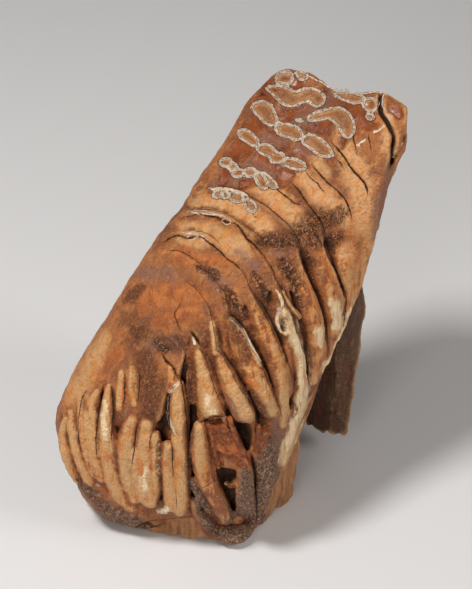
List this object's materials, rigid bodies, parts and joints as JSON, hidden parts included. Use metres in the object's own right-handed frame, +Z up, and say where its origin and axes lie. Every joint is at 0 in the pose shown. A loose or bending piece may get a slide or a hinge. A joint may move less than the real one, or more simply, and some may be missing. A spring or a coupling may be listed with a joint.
{
  "type": "fossil mammoth molar",
  "caption": "Fossil mammoth molar with a worn ridged chewing surface, finger-like plate tips and broken roots, leaning up on its own roots as a display piece.",
  "frame": {"origin": "middle of the bounding box at the level of the surface the tooth stands on", "axes": "+Z up, +X along the tooth to its worn front end, -Y towards the cheek side"},
  "size_m": [0.1548, 0.0976, 0.205],
  "materials": {
    "molar": "orange-brown mineralised tooth: satin enamel and cementum, matte chalky and pitted patches"
  },
  "bodies": {
    "root": {"molar": "molar"}
  },
  "joints": []
}
